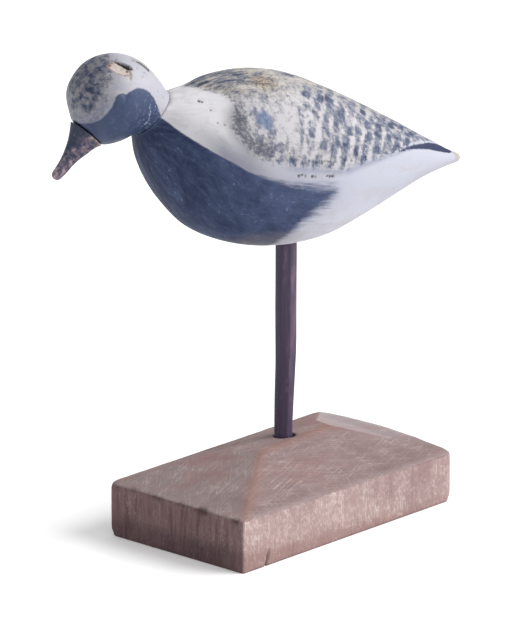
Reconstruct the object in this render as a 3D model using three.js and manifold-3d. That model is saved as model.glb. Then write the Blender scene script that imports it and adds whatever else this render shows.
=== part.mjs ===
// Shorebird decoy on its stand: a carved and painted plover on a whittled stick in a wooden block.
// Millimetres, +Z up. The origin is the middle of the block's underside, X along the block.

import * as THREE from "three";
import { mergeVertices } from "three/addons/utils/BufferGeometryUtils.js";
import Module from "manifold-3d";

const wasm = await Module();
wasm.setup();

// Block: sawn sides, and a top rasped down to slopes that leave a short ridge, level round the stick.
const BLOCK_LENGTH = 154;
const BLOCK_WIDTH = 87;
const FAR_CORNER_SPREAD = 3;
const NEAR_CORNER_HEIGHT = 25.2;
const LEFT_CORNER_HEIGHT = 26.2;
const RIGHT_CORNER_HEIGHT = 24.6;
const FAR_CORNER_HEIGHT = 28.8;
const RIGHT_HIP_HEIGHT = 27.8;
const RIGHT_HIP_SHARE = 0.47;
const RIDGE_HEIGHT = 35.1;
const RIDGE_RIGHT_HEIGHT = 35.8;
const RIDGE_LEFT_INSET = 65;
const RIDGE_LEFT_OFFSET = 4;
const RIDGE_RIGHT_INSET = 34;
const RIDGE_RIGHT_OFFSET = 8.3;
const LEVEL_BEHIND_STICK = 5;
const NEAR_CORNER_RADIUS = 1.5;
const LEFT_CORNER_RADIUS = 5;
const RIGHT_CORNER_RADIUS = 6;
const FAR_CORNER_RADIUS = 9;
const CORNER_STEPS = 5;

// Stick: whittled with flat faces. One drill made both holes, so the thin foot stands loose in its own.
const STICK_X = 17;
const STICK_Y = 14.5;
const STICK_FOOT_DIAMETER = 9.3;
const STICK_TOP_DIAMETER = 11.6;
const STICK_TAPER_LENGTH = 50;
const STICK_TAPER_STEPS = 6;
const STICK_STRAIGHT_SIDE_DEGREES = 132;
const STICK_FACES = 8;
const STICK_FACE_DEGREES = 20;
const WOOD_UNDER_STICK = 14;
const STICK_REACH_IN_BODY = 24;
const HOLE_CLEARANCE = 0.3;
const SEAT_GAP = 0.3;
const HOLE_SIDES = 24;

// Bird: the belly is this far above the underside of the block, and the bird looks aside.
const BELLY_HEIGHT = 131.5;
const BIRD_TURN_DEGREES = -23;
const BODY_LENGTH = 172;
const BODY_DEPTH = 87;
const BODY_WIDTH = 70;
const BODY_FULLNESS = 2.2;
const WING_RISE = 1.7;
const WING_EDGE_WIDTH = 5;
const HEAD_DIAMETER = 44.5;
const HEAD_FORWARD_SHARE = 0.419;
const HEAD_RISE_SHARE = 0.173;
const HEAD_WIDTH_SHARE = 0.96;
const EYE_DIAMETER = 6;
const EYE_RISE = 0.8;
const EYE_DIRECTION = [-0.25, 0.95, 0.17];
const EYE_SEAT_SHARE = 0.473;
const EYE_SIDES = 24;
const BILL_LENGTH = 26;
const BILL_TIP_DIAMETER = 5.2;
const BILL_DROOP_DEGREES = 3;
const BILL_FLARE_POWER = 2.3;
const BILL_RINGS = 10;
const BILL_TIP_DEGREES = [25, 50, 75];
const JOINT_GAP = 0.3;
const RING_SIDES = 48;
const RINGS_PER_STATION = 5;
const ROUND = 2;

// The bird faces -X. A station is a slice: its top and bottom, x from the stick and z from the belly.
const bodyStations = [
  { name: "neck", top: [-0.361, 0.897], bottom: [-0.461, 0.682], half: 0.37 },
  { name: "shoulders", top: [-0.284, 0.93], bottom: [-0.443, 0.525], half: 0.58 },
  { name: "breast", top: [-0.203, 0.966], bottom: [-0.397, 0.348], half: 0.79 },
  { name: "high back", top: [-0.11, 0.978], bottom: [-0.298, 0.135], half: 0.95 },
  { name: "belly", top: [-0.005, 0.942], bottom: [-0.134, 0.018], half: 1.0 },
  { name: "stick", top: [0.135, 0.831], bottom: [0.065, 0.024], half: 0.92 },
  { name: "flank", top: [0.285, 0.687], bottom: [0.24, 0.158], half: 0.69 },
  { name: "rump", top: [0.437, 0.527], bottom: [0.403, 0.308], half: 0.4 },
  { name: "tail", top: [0.543, 0.432], bottom: [0.536, 0.384], half: 0.16 },
];

// The raised wings: where their edge runs, in stations from the neck and degrees down from the back.
const wing = {
  frontOnBack: 0.7,
  frontOnSide: 2.2,
  sideAngle: 56,
  frontAtEdge: 3.1,
  edgeAngle: 87,
  edgeUntil: 5,
  edgeSweep: 3,
  tips: 7.6,
  tipSweep: 2,
  tipThinning: 0.6,
};

// The head's outline on its middle: degrees from the tail up and over, and reach as shares of its size.
const headStations = [
  { name: "nape", top: [24, 0.53], bottom: [289, 0.428] },
  { name: "back of the crown", top: [55, 0.496], bottom: [282, 0.438] },
  { name: "crown", top: [90, 0.485], bottom: [275, 0.45] },
  { name: "forehead", top: [125, 0.49], bottom: [268, 0.463] },
  { name: "lores", top: [165, 0.497], bottom: [260, 0.48] },
  { name: "bill joint", top: [204, 0.495], bottom: [253, 0.495] },
];

// Points closer than this are one point.
const MERGE_WITHIN = 1e-4;

const radians = THREE.MathUtils.degToRad;
const { clamp, lerp, smoothstep } = THREE.MathUtils;

// A closed skin over rings that run forwards, with as many points each, flat at both ends.
function loft(rings) {
  const count = rings[0].length;
  const middle = (ring) => {
    const sum = ring.reduce((total, point) => total.add(point), new THREE.Vector3());
    return sum.divideScalar(count);
  };
  const points = [...rings.flat(), middle(rings[0]), middle(rings.at(-1))];
  const first = points.length - 2;
  const last = points.length - 1;
  const faces = [];
  for (let side = 0; side < count; side++) {
    const next = (side + 1) % count;
    faces.push(first, side, next);
    for (let row = 0; row < rings.length - 1; row++) {
      const near = row * count;
      const far = near + count;
      faces.push(near + side, far + side, far + next);
      faces.push(near + side, far + next, near + next);
    }
    const end = (rings.length - 1) * count;
    faces.push(last, end + next, end + side);
  }
  const geometry = new THREE.BufferGeometry().setFromPoints(points);
  geometry.setIndex(faces);
  return geometry;
}

// A slice of the bird between a top and a bottom point. Its fullness is ROUND, or more if it is squarer.
function slice(top, bottom, half, fullness) {
  const centre = top.clone().add(bottom).divideScalar(2);
  const up = top.clone().sub(centre);
  const squash = (value) => Math.sign(value) * Math.abs(value) ** (2 / fullness);
  const ring = [];
  for (let side = 0; side < RING_SIDES; side++) {
    const angle = (2 * Math.PI * side) / RING_SIDES;
    const point = centre.clone().addScaledVector(up, squash(Math.cos(angle)));
    point.y = -half * squash(Math.sin(angle));
    ring.push(point);
  }
  return ring;
}

// A solid from a mesh, and a mesh from a solid.
function solid(geometry) {
  const bare = geometry.clone();
  bare.deleteAttribute("normal");
  bare.deleteAttribute("uv");
  const merged = mergeVertices(bare, MERGE_WITHIN);
  return new wasm.Manifold(
    new wasm.Mesh({
      numProp: 3,
      vertProperties: new Float32Array(merged.attributes.position.array),
      triVerts: new Uint32Array(merged.index.array),
    }),
  );
}

function skin(body) {
  const mesh = body.getMesh();
  const geometry = new THREE.BufferGeometry();
  geometry.setAttribute("position", new THREE.BufferAttribute(mesh.vertProperties, 3));
  geometry.setIndex(new THREE.BufferAttribute(mesh.triVerts, 1));
  geometry.computeVertexNormals();
  return geometry;
}

// What the drill takes out between two heights.
function bored(from, to) {
  const radius = STICK_TOP_DIAMETER / 2 + HOLE_CLEARANCE;
  const core = new THREE.CylinderGeometry(radius, radius, to - from, HOLE_SIDES);
  core.rotateX(Math.PI / 2);
  core.translate(0, 0, (from + to) / 2);
  return core;
}

// The block: its plan has a worn radius on each corner, and the far corner runs out a little.
function blockPlan(corners) {
  const plan = new THREE.Shape();
  corners.forEach(({ at, radius }, index) => {
    const before = corners.at(index - 1).at;
    const after = corners[(index + 1) % corners.length].at;
    const start = at.clone().add(before.clone().sub(at).setLength(radius));
    const end = at.clone().add(after.clone().sub(at).setLength(radius));
    if (index === 0) {
      plan.moveTo(start.x, start.y);
    } else {
      plan.lineTo(start.x, start.y);
    }
    plan.quadraticCurveTo(at.x, at.y, end.x, end.y);
  });
  plan.closePath();
  return plan;
}

// What the rasp takes away above the slope through three points.
function above(a, b, c) {
  const size = 2 * BLOCK_LENGTH;
  const slope = new THREE.Plane().setFromCoplanarPoints(a, b, c);
  const waste = new THREE.BoxGeometry(size, size, size);
  waste.translate(0, 0, size / 2);
  const upwards = new THREE.Vector3(0, 0, 1);
  waste.applyQuaternion(new THREE.Quaternion().setFromUnitVectors(upwards, slope.normal));
  waste.translate(c.x, c.y, c.z);
  return solid(waste);
}

function makeBase() {
  const x = BLOCK_LENGTH / 2;
  const y = BLOCK_WIDTH / 2;
  const farX = x + FAR_CORNER_SPREAD;
  const farY = y + FAR_CORNER_SPREAD;
  const plan = blockPlan([
    { at: new THREE.Vector2(-x, -y), radius: NEAR_CORNER_RADIUS },
    { at: new THREE.Vector2(x, -y), radius: RIGHT_CORNER_RADIUS },
    { at: new THREE.Vector2(farX, farY), radius: FAR_CORNER_RADIUS },
    { at: new THREE.Vector2(-x, y), radius: LEFT_CORNER_RADIUS },
  ]);
  const sawnHeight = 2 * RIDGE_HEIGHT;
  const sawn = new THREE.ExtrudeGeometry(plan, {
    depth: sawnHeight,
    bevelEnabled: false,
    curveSegments: CORNER_STEPS,
  });
  const near = new THREE.Vector3(-x, -y, NEAR_CORNER_HEIGHT);
  const right = new THREE.Vector3(x, -y, RIGHT_CORNER_HEIGHT);
  const far = new THREE.Vector3(farX, farY, FAR_CORNER_HEIGHT);
  const left = new THREE.Vector3(-x, y, LEFT_CORNER_HEIGHT);
  const rightHip = right.clone().lerp(far, RIGHT_HIP_SHARE).setZ(RIGHT_HIP_HEIGHT);
  const ridgeLeft = new THREE.Vector3(RIDGE_LEFT_INSET - x, RIDGE_LEFT_OFFSET, RIDGE_HEIGHT);
  const ridgeRight = new THREE.Vector3(x - RIDGE_RIGHT_INSET, RIDGE_RIGHT_OFFSET, RIDGE_RIGHT_HEIGHT);
  const atStick = new THREE.Vector3(STICK_X, STICK_Y, RIDGE_HEIGHT);
  const behindStick = new THREE.Vector3(STICK_X, STICK_Y + LEVEL_BEHIND_STICK, RIDGE_HEIGHT);
  const hole = bored(WOOD_UNDER_STICK, sawnHeight);
  hole.translate(STICK_X, STICK_Y, 0);
  return skin(
    solid(sawn)
      .subtract(above(near, right, ridgeRight))
      .subtract(above(right, rightHip, ridgeRight))
      .subtract(above(rightHip, far, ridgeRight))
      .subtract(above(ridgeLeft, ridgeRight, atStick))
      .subtract(above(far, left, behindStick))
      .subtract(above(left, near, ridgeLeft))
      .subtract(solid(hole)),
  );
}

// The stick: one side is left straight, and all of the taper is cut from the others.
function stickFace(height, diameter) {
  const away = radians(STICK_STRAIGHT_SIDE_DEGREES);
  const shift = (STICK_TOP_DIAMETER - diameter) / 2;
  const ring = [];
  for (let face = 0; face < STICK_FACES; face++) {
    const turn = radians((360 * face) / STICK_FACES + STICK_FACE_DEGREES);
    const x = (diameter / 2) * Math.cos(turn) + shift * Math.cos(away);
    const y = (diameter / 2) * Math.sin(turn) + shift * Math.sin(away);
    ring.push(new THREE.Vector3(x, y, height));
  }
  return ring;
}

function makeStick() {
  const rings = [stickFace(WOOD_UNDER_STICK + SEAT_GAP, STICK_FOOT_DIAMETER)];
  for (let step = 0; step <= STICK_TAPER_STEPS; step++) {
    const share = step / STICK_TAPER_STEPS;
    const height = RIDGE_HEIGHT + share * STICK_TAPER_LENGTH;
    const growth = smoothstep(share, 0, 1);
    rings.push(stickFace(height, lerp(STICK_FOOT_DIAMETER, STICK_TOP_DIAMETER, growth)));
  }
  rings.push(stickFace(BELLY_HEIGHT + STICK_REACH_IN_BODY, STICK_TOP_DIAMETER));
  return skin(solid(loft(rings.reverse())));
}

// The body's lines as smooth curves through its stations.
function bodyLines() {
  const place = ([x, z]) => new THREE.Vector3(x * BODY_LENGTH, 0, z * BODY_DEPTH);
  const halves = bodyStations.map(({ half }, index) => new THREE.Vector2(index, (half * BODY_WIDTH) / 2));
  return {
    top: new THREE.CatmullRomCurve3(bodyStations.map(({ top }) => place(top))),
    bottom: new THREE.CatmullRomCurve3(bodyStations.map(({ bottom }) => place(bottom))),
    half: new THREE.SplineCurve(halves),
  };
}

// How far a place on the body stands proud as wing.
function wingRise(station, angle) {
  const onSide = smoothstep(angle, 0, wing.sideAngle);
  const toEdge = clamp((angle - wing.sideAngle) / (wing.edgeAngle - wing.sideAngle), 0, 1);
  const onShoulder = lerp(wing.frontOnBack, wing.frontOnSide, onSide);
  const front = onShoulder + (wing.frontAtEdge - wing.frontOnSide) * toEdge ** wing.edgeSweep;
  const toTips = clamp((station - wing.edgeUntil) / (wing.tips - wing.edgeUntil), 0, 1);
  const edge = wing.edgeAngle * (1 - toTips ** wing.tipSweep);
  const behindFront = ((station - front) * BODY_LENGTH) / (bodyStations.length - 1);
  const aboveEdge = (radians(edge - angle) * BODY_WIDTH) / 2;
  const rise = WING_RISE * (1 - wing.tipThinning * toTips);
  return rise * smoothstep(Math.min(behindFront, aboveEdge), 0, WING_EDGE_WIDTH);
}

function makeBody() {
  const lines = bodyLines();
  const count = (bodyStations.length - 1) * RINGS_PER_STATION;
  const rings = [];
  for (let index = 0; index <= count; index++) {
    const along = index / count;
    const top = lines.top.getPoint(along);
    const bottom = lines.bottom.getPoint(along);
    const ring = slice(top, bottom, lines.half.getPoint(along).y, BODY_FULLNESS);
    const centre = top.clone().add(bottom).divideScalar(2);
    ring.forEach((point, side) => {
      const angle = 180 - Math.abs(180 - (360 * side) / RING_SIDES);
      const rise = wingRise(index / RINGS_PER_STATION, angle);
      point.add(point.clone().sub(centre).setLength(rise));
    });
    rings.push(ring);
  }
  const belowBelly = -BODY_DEPTH / 4;
  const hole = bored(belowBelly, STICK_REACH_IN_BODY + SEAT_GAP);
  return skin(solid(loft(rings.reverse())).subtract(solid(hole)));
}

// The cut across the neck, where the head is butted on with a thin joint.
function neckCut() {
  const lines = bodyLines();
  const top = lines.top.getPoint(0);
  const bottom = lines.bottom.getPoint(0);
  const across = top.clone().sub(bottom).normalize();
  return {
    top,
    bottom,
    half: lines.half.getPoint(0).y,
    middle: top.clone().add(bottom).divideScalar(2),
    forward: new THREE.Vector3(-across.z, 0, across.x),
  };
}

function headCentre() {
  const centre = neckCut().middle.clone();
  centre.x -= HEAD_FORWARD_SHARE * HEAD_DIAMETER;
  centre.z += HEAD_RISE_SHARE * HEAD_DIAMETER;
  return centre;
}

function headPoint([angle, reach]) {
  const turn = radians(angle);
  const out = new THREE.Vector3(Math.cos(turn), 0, Math.sin(turn));
  return headCentre().addScaledVector(out, reach * HEAD_DIAMETER);
}

function makeHead() {
  const neck = neckCut();
  const gap = neck.forward.clone().multiplyScalar(JOINT_GAP);
  const tops = [neck.top.clone().add(gap)];
  const bottoms = [neck.bottom.clone().add(gap)];
  const halves = [new THREE.Vector2(0, neck.half)];
  headStations.forEach(({ top, bottom }, index) => {
    const high = headPoint(top);
    const low = headPoint(bottom);
    tops.push(high);
    bottoms.push(low);
    halves.push(new THREE.Vector2(index + 1, (high.distanceTo(low) * HEAD_WIDTH_SHARE) / 2));
  });
  const topLine = new THREE.CatmullRomCurve3(tops);
  const bottomLine = new THREE.CatmullRomCurve3(bottoms);
  const halfLine = new THREE.SplineCurve(halves);
  const count = (tops.length - 1) * RINGS_PER_STATION;
  const rings = [];
  for (let index = 0; index <= count; index++) {
    const along = index / count;
    const half = halfLine.getPoint(along).y;
    rings.push(slice(topLine.getPoint(along), bottomLine.getPoint(along), half, ROUND));
  }
  let head = solid(loft(rings));
  for (const side of [-1, 1]) {
    head = head.add(solid(eye(side)));
  }
  return skin(head);
}

// A low round bump on the side of the head.
function eye(side) {
  const flat = EYE_DIAMETER / 2;
  const ball = (flat ** 2 + EYE_RISE ** 2) / (2 * EYE_RISE);
  const sink = EYE_SEAT_SHARE * HEAD_DIAMETER + EYE_RISE - ball;
  const [x, y, z] = EYE_DIRECTION;
  const out = new THREE.Vector3(x, side * y * HEAD_WIDTH_SHARE, z);
  const bump = new THREE.SphereGeometry(ball, EYE_SIDES, EYE_SIDES / 2);
  const place = headCentre().addScaledVector(out, sink);
  bump.translate(place.x, place.y, place.z);
  return bump;
}

// The bill: a cone that flares to the face, with a blunt worn tip.
function makeBill() {
  const { top, bottom } = headStations.at(-1);
  const high = headPoint(top);
  const low = headPoint(bottom);
  const up = high.clone().sub(low).normalize();
  const out = new THREE.Vector3(-up.z, 0, up.x);
  const axis = out.clone().applyAxisAngle(new THREE.Vector3(0, 1, 0), radians(-BILL_DROOP_DEGREES));
  const root = high.clone().add(low).divideScalar(2).addScaledVector(out, JOINT_GAP);
  const rootHalf = high.distanceTo(low) / 2;
  const tipHalf = BILL_TIP_DIAMETER / 2;
  const shank = BILL_LENGTH - tipHalf;
  const ring = (reach, half) => {
    const centre = root.clone().addScaledVector(axis, reach);
    const rise = up.clone().multiplyScalar(half);
    return slice(centre.clone().add(rise), centre.clone().sub(rise), half * HEAD_WIDTH_SHARE, ROUND);
  };
  const rings = [];
  for (let step = 0; step <= BILL_RINGS; step++) {
    const share = step / BILL_RINGS;
    const flare = (rootHalf - tipHalf) * (1 - share) ** BILL_FLARE_POWER;
    rings.push(ring(share * shank, tipHalf + flare));
  }
  for (const turn of BILL_TIP_DEGREES.map(radians)) {
    rings.push(ring(shank + tipHalf * Math.sin(turn), tipHalf * Math.cos(turn)));
  }
  return skin(solid(loft(rings)));
}

function piece(name, geometry, color, roughness) {
  const material = new THREE.MeshStandardMaterial({ color, roughness, metalness: 0 });
  const mesh = new THREE.Mesh(geometry, material);
  mesh.name = name;
  return mesh;
}

const stick = piece("stick", makeStick(), 0x4a3c48, 0.7);
stick.position.set(STICK_X, STICK_Y, 0);

const bird = new THREE.Group();
bird.position.set(STICK_X, STICK_Y, BELLY_HEIGHT);
bird.rotation.z = radians(BIRD_TURN_DEGREES);
bird.add(piece("body", makeBody(), 0xd8d6da, 0.55));
bird.add(piece("head", makeHead(), 0x9a9aa2, 0.55));
bird.add(piece("bill", makeBill(), 0x4a4450, 0.6));

const decoy = new THREE.Group();
decoy.add(piece("base", makeBase(), 0x8c7068, 0.85));
decoy.add(stick);
decoy.add(bird);

export default decoy;
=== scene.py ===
import math

import bpy
import numpy as np
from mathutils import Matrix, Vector, noise


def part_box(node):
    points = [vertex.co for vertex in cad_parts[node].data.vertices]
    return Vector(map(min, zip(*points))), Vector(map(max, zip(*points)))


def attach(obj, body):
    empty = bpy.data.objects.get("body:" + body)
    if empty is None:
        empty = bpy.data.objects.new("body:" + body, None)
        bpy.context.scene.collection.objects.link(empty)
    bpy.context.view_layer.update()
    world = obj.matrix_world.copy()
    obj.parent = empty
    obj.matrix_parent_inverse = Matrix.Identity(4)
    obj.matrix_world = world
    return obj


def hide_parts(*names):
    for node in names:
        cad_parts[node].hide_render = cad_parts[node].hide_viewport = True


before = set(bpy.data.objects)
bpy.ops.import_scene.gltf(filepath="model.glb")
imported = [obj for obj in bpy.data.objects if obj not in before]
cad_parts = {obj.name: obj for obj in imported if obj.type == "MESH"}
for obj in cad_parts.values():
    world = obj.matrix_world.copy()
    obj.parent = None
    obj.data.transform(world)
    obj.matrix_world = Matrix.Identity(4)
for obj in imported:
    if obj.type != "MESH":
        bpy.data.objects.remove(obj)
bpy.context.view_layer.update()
MM = 0.001


# Block
# A short offcut of red-brown board. Its sides are sawn and its top is rasped to a low hipped roof
# with a hole bored for the stick. It is bare wood gone grey with dirt, scratched all over.
def select_only(thing):
    """Leaves one object selected and active."""
    bpy.ops.object.select_all(action="DESELECT")
    thing.select_set(True)
    bpy.context.view_layer.objects.active = thing


def merged_copy(node_name, name):
    """A copy of a CAD node with its loose triangles merged, ready to be carved."""
    copy = bpy.data.objects.new(name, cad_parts[node_name].data.copy())
    bpy.context.scene.collection.objects.link(copy)
    copy.data.materials.clear()
    select_only(copy)
    bpy.ops.object.mode_set(mode="EDIT")
    bpy.ops.mesh.select_all(action="SELECT")
    bpy.ops.mesh.remove_doubles(threshold=0.002 * MM)
    bpy.ops.mesh.tris_convert_to_quads(face_threshold=math.radians(30), shape_threshold=math.radians(60))
    bpy.ops.object.mode_set(mode="OBJECT")
    return copy


def finish_with(piece, kind, **settings):
    """Adds one modifier to a piece and applies it."""
    select_only(piece)
    modifier = piece.modifiers.new(kind, kind)
    for setting, value in settings.items():
        setattr(modifier, setting, value)
    bpy.ops.object.modifier_apply(modifier=modifier.name)


def soften(piece, passes, chosen):
    """Smooths the chosen points of a piece, as wear does."""
    group = piece.vertex_groups.new(name="worn")
    group.add(np.flatnonzero(chosen).tolist(), 1.0, "REPLACE")
    finish_with(piece, "SMOOTH", factor=0.5, iterations=passes, vertex_group="worn")
    piece.vertex_groups.clear()


def places(piece):
    """The piece's points as an array, in millimetres."""
    found = np.empty(len(piece.data.vertices) * 3, np.float32)
    piece.data.vertices.foreach_get("co", found)
    return found.reshape(-1, 3).astype(float) / MM


def outwards(piece):
    """The way that each point of the piece faces."""
    found = np.empty(len(piece.data.vertices) * 3, np.float32)
    piece.data.vertices.foreach_get("normal", found)
    return found.reshape(-1, 3).astype(float)


def put(piece, spots):
    """Moves the piece's points to new places, in millimetres."""
    piece.data.vertices.foreach_set("co", (spots * MM).astype(np.float32).ravel())
    piece.data.update()


def sculpt(piece, rise):
    """Moves each point out along its normal by its rise in millimetres."""
    put(piece, places(piece) + outwards(piece) * rise[:, None])


def uneven(points, period, seed):
    """A smooth noise from about -1 to 1 at each point, with its own period in mm along each axis."""
    shift = Vector((seed * 17.3, seed * 5.1, seed * 9.7))
    scaled = points / np.array(period, float)
    return np.array([noise.noise(Vector(point) + shift) for point in scaled])


def ramp(values, low, high):
    """0 below low, 1 above high and smooth between them."""
    share = np.clip((values - low) / (high - low), 0, 1)
    return share * share * (3 - 2 * share)


def hump(values, middle, reach):
    """1 at the middle, and soon nothing past its reach to either side."""
    return np.exp(-(((values - middle) / reach) ** 2))


def from_line(points, line):
    """How far each point lies from a bent line."""
    nearest = np.full(len(points), np.inf)
    for start, end in zip(np.array(line, float), np.array(line[1:], float)):
        edge = end - start
        share = np.clip((points - start) @ edge / (edge @ edge), 0, 1)
        nearest = np.minimum(nearest, np.linalg.norm(points - start - share[:, None] * edge, axis=1))
    return nearest


def keep(piece, painted_places):
    """Stores named numbers on the piece's points for its material to read, and shades it smooth."""
    for name, values in painted_places.items():
        attribute = piece.data.attributes.new(name, "FLOAT", "POINT")
        attribute.data.foreach_set("value", values.astype(np.float32))
    select_only(piece)
    bpy.ops.object.shade_smooth()


def linear(colour):
    """An sRGB hex colour as linear RGBA."""
    parts = [int(colour[place:place + 2], 16) / 255 for place in (1, 3, 5)]
    return [p / 12.92 if p <= 0.04045 else ((p + 0.055) / 1.055) ** 2.4 for p in parts] + [1]


def plug(tree, socket, value):
    """Gives a socket its value, which is a number, a hex colour or another node's link."""
    if isinstance(value, bpy.types.NodeSocket):
        tree.links.new(value, socket)
    else:
        socket.default_value = linear(value) if isinstance(value, str) else value


def add(tree, kind, sockets=None, out=0, **settings):
    """Adds a node: settings are its own properties, sockets its inputs, each a value or a link."""
    made = tree.nodes.new("ShaderNode" + kind)
    for name, value in settings.items():
        setattr(made, name, value)
    for key, value in (sockets or {}).items():
        plug(tree, made.inputs[key], value)
    return made.outputs[out]


def start_material(piece, name, painted_places):
    """A new material on the piece, with its coordinates and the numbers stored on its points."""
    material = bpy.data.materials.new(name)
    material.use_nodes = True
    piece.data.materials.append(material)
    tree = material.node_tree
    stored = {place: add(tree, "Attribute", out="Fac", attribute_name=place)
              for place in painted_places}
    return tree, add(tree, "TexCoord", out="Object"), stored


def fine_marks(tree, spot, period, detail, roughness, warp=0.0, turn=(0, 0, 0)):
    """A noise with its period in mm along each axis, turned about the axes in degrees."""
    stretched = add(tree, "Mapping", {
        0: spot, "Rotation": [math.radians(angle) for angle in turn], "Scale": Vector(period) * MM,
    }, vector_type="TEXTURE")
    return add(tree, "TexNoise", {"Vector": stretched, "Scale": 1, "Detail": detail,
                                  "Roughness": roughness, "Distortion": warp})


def lay_coats(tree, ground, *coats):
    """Lays colours one over the other. Each coat has its colour, the pattern that it follows, the
    pattern's value where it starts, the one where it is full, how full that is, and its places."""
    for colour, pattern, start, full, most, *its_places in coats:
        share = add(tree, "MapRange", {0: pattern, 1: start, 2: full, 3: 0, 4: most})
        for place in its_places:
            share = add(tree, "Math", {0: share, 1: place}, operation="MULTIPLY")
        ground = add(tree, "Mix", {0: share, 6: ground, 7: colour}, out=2, data_type="RGBA")
    return ground


def finish_material(tree, colour, height, strength, roughness, ior, specular):
    """Gives the shader its colour, its gloss and a bump."""
    surface = tree.nodes["Principled BSDF"].inputs
    bump = add(tree, "Bump", {"Strength": strength, "Distance": 0.3 * MM, "Height": height})
    for name, value in (("Base Color", colour), ("Roughness", roughness), ("Normal", bump)):
        plug(tree, surface[name], value)
    surface["IOR"].default_value = ior
    surface["Specular IOR Level"].default_value = specular


BLOCK_VOXEL = 0.8
HOLE_AT = np.array([17, 14.5])
PHOTO_RIGHT = np.array([0.673, -0.74])
block_low, block_high = (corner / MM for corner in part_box("base"))

block = merged_copy("base", "rasped_block")
finish_with(block, "REMESH", mode="VOXEL", voxel_size=BLOCK_VOXEL * MM)
finish_with(block, "SMOOTH", factor=0.5, iterations=3)

# Handling has rounded the block: most at its left, right and far corners, less along its other edges.
CORNER_WEAR_REACH, CORNER_WEAR_PASSES = 6.5, 12
CORNER_FOOT, CORNER_TOP = 4, 21
EDGE_WEAR_REACH, EDGE_WEAR_PASSES = 2.6, 3
spots = places(block)
facing = outwards(block)
half_long, half_wide = (block_high.x - block_low.x) / 2, (block_high.y - block_low.y) / 2
long_way = half_long - np.abs(spots[:, 0] - (block_low.x + block_high.x) / 2)
wide_way = half_wide - np.abs(spots[:, 1] - (block_low.y + block_high.y) / 2)
rim_depth = np.minimum(long_way, wide_way)
near_corner = (spots[:, 0] < 0) & (spots[:, 1] < 0)
at_corner = np.hypot(np.maximum(long_way, 0), np.maximum(wide_way, 0)) < CORNER_WEAR_REACH
at_corner &= ~near_corner & ((spots[:, 2] < CORNER_FOOT) | (spots[:, 2] > CORNER_TOP))
at_rim = (rim_depth < EDGE_WEAR_REACH + 1) & (np.abs(facing[:, 2]) > 0.12) & (spots[:, 2] > 15)
at_foot = (spots[:, 2] < EDGE_WEAR_REACH) & (rim_depth < EDGE_WEAR_REACH)
soften(block, CORNER_WEAR_PASSES, at_corner)
soften(block, EDGE_WEAR_PASSES, at_rim | at_foot)

# The saw left upright furrows in the sides, and the rasp left shallow ones down the slopes.
FURROW_DEPTH, RASP_DEPTH, HOLLOW_DEPTH = 0.11, 0.06, 0.1
spots = places(block)
facing = outwards(block)
on_top = ramp(facing[:, 2], 0.3, 0.8)
on_side = 1 - ramp(np.abs(facing[:, 2]), 0.2, 0.6)
round_the_block = np.column_stack([spots[:, 0] + spots[:, 1], spots[:, 0] - spots[:, 1], spots[:, 2]])
furrows = uneven(round_the_block, (1.9, 1.9, 16), 1) + 0.6 * uneven(round_the_block, (5, 5, 30), 2)
hollows = uneven(spots, (14, 14, 9), 3)
rasped = uneven(spots, (4.5, 2.2, 4), 4)
sunk = on_side * (FURROW_DEPTH * furrows - 0.09) + on_top * (RASP_DEPTH * rasped - 0.05)
sunk += HOLLOW_DEPTH * hollows - 0.04
from_hole = spots[:, :2] - HOLE_AT
hole_away = np.linalg.norm(from_hole, axis=1)
sunk *= ramp(hole_away, 6.5, 9.5)
on_underside = facing[:, 2] < -0.5
sculpt(block, np.where(on_underside, 0, np.minimum(sunk, -0.02)))

# The left and right corners stand a little further out than their rounding, and so does the right
# rim. Each corner has its place, the way that it goes and how far.
CORNER_PUSHES = (((-75, 41.5), (-0.7, 0.7), 0.7), ((75, -41.5), (1, 0), 0.9))
RIM_RISE_Y = [-43, -36, -20, 10, 30, 43]
RIM_RISE = [0, 0.8, 1.2, 1.2, 0.7, 0]
spots = places(block)
upright_share = ramp(spots[:, 2], 0.5, 4) * ramp(spots[:, 2], 27, 23)
for corner, way, push in CORNER_PUSHES:
    near_it = ramp(np.hypot(spots[:, 0] - corner[0], spots[:, 1] - corner[1]), 9, 1)
    spots[:, :2] += np.outer(push * near_it * upright_share, way)
rim_rise = np.interp(spots[:, 1], RIM_RISE_Y, RIM_RISE)
spots[:, 2] += rim_rise * ramp(spots[:, 0], 60, 75) * ramp(spots[:, 2], 19, 24)

# The hole is worn oval: its rim lies closer to the stick on the right.
HOLE_CLOSED_IN = 0.62
rightness = 1 + from_hole @ PHOTO_RIGHT / np.maximum(hole_away, 0.1)
closed_in = HOLE_CLOSED_IN * rightness * ramp(spots[:, 2], 27, 33) * ramp(hole_away, 10, 6)
spots[:, :2] -= closed_in[:, None] * from_hole / np.maximum(hole_away, 0.1)[:, None]
spots[:, 1] = np.maximum(spots[:, 1], block_low.y)
spots[:, 2] = np.maximum(spots[:, 2], 0)
put(block, spots)

# Bits have broken out along the top of the short left face. The largest are given by their place
# along it, half their width and how much they add.
LARGEST_BITES = ((-17.4, 2.6, 1.0), (-2.6, 3.4, 0.6), (10, 2.5, 0.5))
spots = places(block)
edge_height = np.interp(spots[:, 1], [-43.5, 43.5], [24.9, 25.9])
edge_away = np.hypot(spots[:, 0] - block_low.x, spots[:, 2] - edge_height)
bites = 0.32 + 1.2 * uneven(spots, (9, 11, 9), 6) + 0.6 * uneven(spots, (3, 2.6, 3), 7)
for place, half_width, extra in LARGEST_BITES:
    bites += extra * hump(spots[:, 1], place, half_width)
bites = np.clip(bites, 0.05, 1.3) * ramp(spots[:, 1], block_low.y + 1, block_low.y + 5)
broken = hump(edge_away, 0, 1.1 + 1.1 * bites) * bites
broken *= ramp(spots[:, 1], block_high.y - 8, block_high.y - 22)
sculpt(block, -0.9 * broken)

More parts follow.
